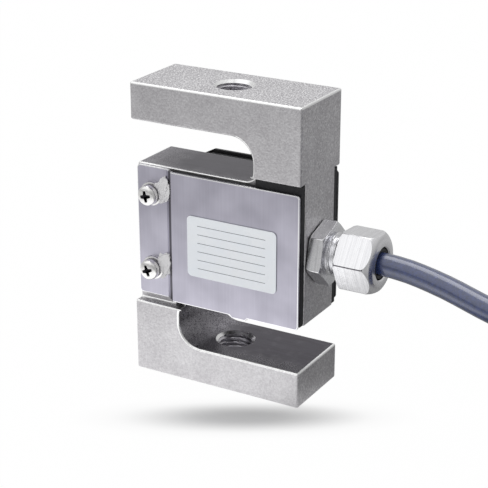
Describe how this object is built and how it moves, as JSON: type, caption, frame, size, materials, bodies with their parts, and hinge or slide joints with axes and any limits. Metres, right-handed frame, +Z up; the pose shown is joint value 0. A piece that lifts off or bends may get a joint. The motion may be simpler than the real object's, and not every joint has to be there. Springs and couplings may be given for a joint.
{
  "type": "s-type load cell",
  "caption": "S-shaped tension and compression load cell: steel block with threaded holes through its arms, screwed side covers, a cable gland and a tied hank of cable.",
  "frame": {"origin": "centre of the steel block, on the underside of its lower arm, on the surface that the block stands on", "axes": "+Z up along the load line through both threaded holes, +X towards the side that the cable leaves from, -Y towards the front cover with the label"},
  "size_m": [0.1952, 0.0566, 0.0824],
  "materials": {
    "block_steel": "nickel plated alloy steel, bead blasted and ground faces",
    "board_laminate": "green laminate",
    "cable_jacket": "dark navy PVC, glossy",
    "cover_black": "black painted sheet",
    "cover_sheet": "bright satin stainless sheet",
    "gasket_rubber": "black, matt",
    "gauge_foil": "amber polyimide film",
    "gland_brass_plated": "bright nickel plating over brass",
    "insulation_black": "black",
    "insulation_green": "green",
    "insulation_red": "red",
    "insulation_white": "white",
    "jumper_copper": "enamelled copper wire",
    "label_foil": "pale printed metal label, satin",
    "screw_steel": "nickel plated",
    "seal_rubber": "black",
    "tie_plastic": "black nylon",
    "tinned_copper": "tinned copper strands"
  },
  "bodies": {
    "root": {"cable_hank": "cable_jacket", "cable_inner": "cable_jacket", "cable_lead": "cable_jacket", "cable_tail": "cable_jacket", "conductor_black": "insulation_black", "conductor_green": "insulation_green", "conductor_red": "insulation_red", "conductor_white": "insulation_white", "core_wire_black": "insulation_black", "core_wire_green": "insulation_green", "core_wire_red": "insulation_red", "core_wire_white": "insulation_white", "cover_screw_front_lower": "screw_steel", "cover_screw_front_upper": "screw_steel", "cover_screw_rear_lower": "screw_steel", "cover_screw_rear_upper": "screw_steel", "flat_washer_front_lower": "screw_steel", "flat_washer_front_upper": "screw_steel", "flat_washer_rear_lower": "screw_steel", "flat_washer_rear_upper": "screw_steel", "front_cover": "cover_sheet", "front_gasket": "gasket_rubber", "gland_body": "gland_brass_plated", "gland_nut": "gland_brass_plated", "gland_o_ring": "seal_rubber", "gland_seal": "seal_rubber", "gland_thrust_washer": "gland_brass_plated", "hank_tie_front": "tie_plastic", "hank_tie_rear": "tie_plastic", "jumper_wire_front_1": "jumper_copper", "jumper_wire_front_2": "jumper_copper", "jumper_wire_rear_1": "jumper_copper", "jumper_wire_rear_2": "jumper_copper", "label_plate": "label_foil", "rear_cover": "cover_black", "rear_gasket": "gasket_rubber", "s_body": "block_steel", "shield_drain": "tinned_copper", "split_washer_front_lower": "screw_steel", "split_washer_front_upper": "screw_steel", "split_washer_rear_lower": "screw_steel", "split_washer_rear_upper": "screw_steel", "strain_gauge_front_1": "gauge_foil", "strain_gauge_front_2": "gauge_foil", "strain_gauge_rear_1": "gauge_foil", "strain_gauge_rear_2": "gauge_foil", "terminal_board_front": "board_laminate", "terminal_board_rear": "board_laminate"}
  },
  "joints": []
}
